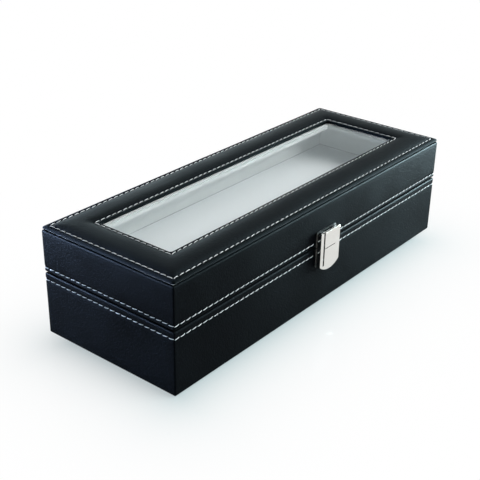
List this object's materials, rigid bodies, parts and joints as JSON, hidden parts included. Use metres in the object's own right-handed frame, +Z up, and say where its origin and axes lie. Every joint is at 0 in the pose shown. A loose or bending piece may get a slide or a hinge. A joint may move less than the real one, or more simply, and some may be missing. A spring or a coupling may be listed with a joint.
{
  "type": "watch box",
  "caption": "Long low watch box covered in black leathercloth with white stitching, with a hinged lid that has a padded frame round a clear window, and a nickel clasp.",
  "frame": {"origin": "middle of the underside, on the surface the box stands on", "axes": "+X along the front to the right, -Y towards the clasp and the user, +Z up"},
  "size_m": [0.3106, 0.1235, 0.082],
  "materials": {
    "black_leathercloth": "embossed fine grain, semi-gloss",
    "white_thread": "twisted polyester sewing thread",
    "polished_nickel": "polished nickel plate",
    "plated_steel": "dull nickel plate on pressed steel",
    "clear_pane": "clear float glass, polished",
    "pale_velvet": "short beige-grey pile",
    "cushion_velvet": "short beige-grey pile over soft filling",
    "pale_card": "smooth pale card",
    "fibreboard": "raw medium-density fibreboard",
    "greyboard": "raw greyboard",
    "foam": "open-cell padding foam",
    "underside_felt": "black needled felt"
  },
  "bodies": {
    "base": {"base_back_board": "fibreboard", "base_bottom_board": "fibreboard", "base_floor_lining": "pale_velvet", "base_front_board": "fibreboard", "base_leather": "black_leathercloth", "base_left_board": "fibreboard", "base_right_board": "fibreboard", "base_rim_stitching": "white_thread", "base_underside_felt": "underside_felt", "base_wall_lining": "pale_velvet", "clasp_base_plate": "plated_steel", "clasp_base_rivets": "plated_steel", "divider_1": "pale_velvet", "divider_2": "pale_velvet", "divider_3": "pale_velvet", "divider_4": "pale_velvet", "divider_5": "pale_velvet", "hinge_base_screws": "plated_steel", "hinge_left_base_leaf": "plated_steel", "hinge_left_pin": "plated_steel", "hinge_right_base_leaf": "plated_steel", "hinge_right_pin": "plated_steel"},
    "lid": {"clasp_lid_plate": "plated_steel", "clasp_lid_rivets": "plated_steel", "hinge_left_lid_leaf": "plated_steel", "hinge_lid_screws": "plated_steel", "hinge_right_lid_leaf": "plated_steel", "insert_card": "pale_card", "lid_back_board": "fibreboard", "lid_front_board": "fibreboard", "lid_left_board": "fibreboard", "lid_right_board": "fibreboard", "lid_rim_stitching": "white_thread", "lid_side_leather": "black_leathercloth", "lid_top_board": "fibreboard", "lid_top_lining": "pale_velvet", "lid_wall_lining": "pale_velvet", "top_inner_stitching": "white_thread", "top_outer_stitching": "white_thread", "top_panel_board": "greyboard", "top_panel_leather": "black_leathercloth", "top_panel_padding_back": "foam", "top_panel_padding_front": "foam", "top_panel_padding_left": "foam", "top_panel_padding_right": "foam", "window_pane": "clear_pane"},
    "clasp_tab": {"clasp_tab": "polished_nickel", "clasp_pin": "plated_steel"},
    "cushion_1": {"cushion_1": "cushion_velvet"},
    "cushion_2": {"cushion_2": "cushion_velvet"},
    "cushion_3": {"cushion_3": "cushion_velvet"},
    "cushion_4": {"cushion_4": "cushion_velvet"},
    "cushion_5": {"cushion_5": "cushion_velvet"},
    "cushion_6": {"cushion_6": "cushion_velvet"}
  },
  "joints": [
    {"name": "lid_hinge", "type": "hinge", "parent": "base", "child": "lid", "pos_m": [0, 0.0594, 0.04655], "axis": [-1, 0, 0], "range_deg": [0, 100]},
    {"name": "clasp_tab_flip", "type": "hinge", "parent": "lid", "child": "clasp_tab", "pos_m": [0, -0.0605, 0.0573], "axis": [-1, 0, 0], "range_deg": [0, 110]},
    {"name": "cushion_1_lift", "type": "slide", "parent": "base", "child": "cushion_1", "axis": [0, 0, 1], "range_m": [0, 0.008]},
    {"name": "cushion_2_lift", "type": "slide", "parent": "base", "child": "cushion_2", "axis": [0, 0, 1], "range_m": [0, 0.008]},
    {"name": "cushion_3_lift", "type": "slide", "parent": "base", "child": "cushion_3", "axis": [0, 0, 1], "range_m": [0, 0.008]},
    {"name": "cushion_4_lift", "type": "slide", "parent": "base", "child": "cushion_4", "axis": [0, 0, 1], "range_m": [0, 0.008]},
    {"name": "cushion_5_lift", "type": "slide", "parent": "base", "child": "cushion_5", "axis": [0, 0, 1], "range_m": [0, 0.008]},
    {"name": "cushion_6_lift", "type": "slide", "parent": "base", "child": "cushion_6", "axis": [0, 0, 1], "range_m": [0, 0.008]}
  ]
}
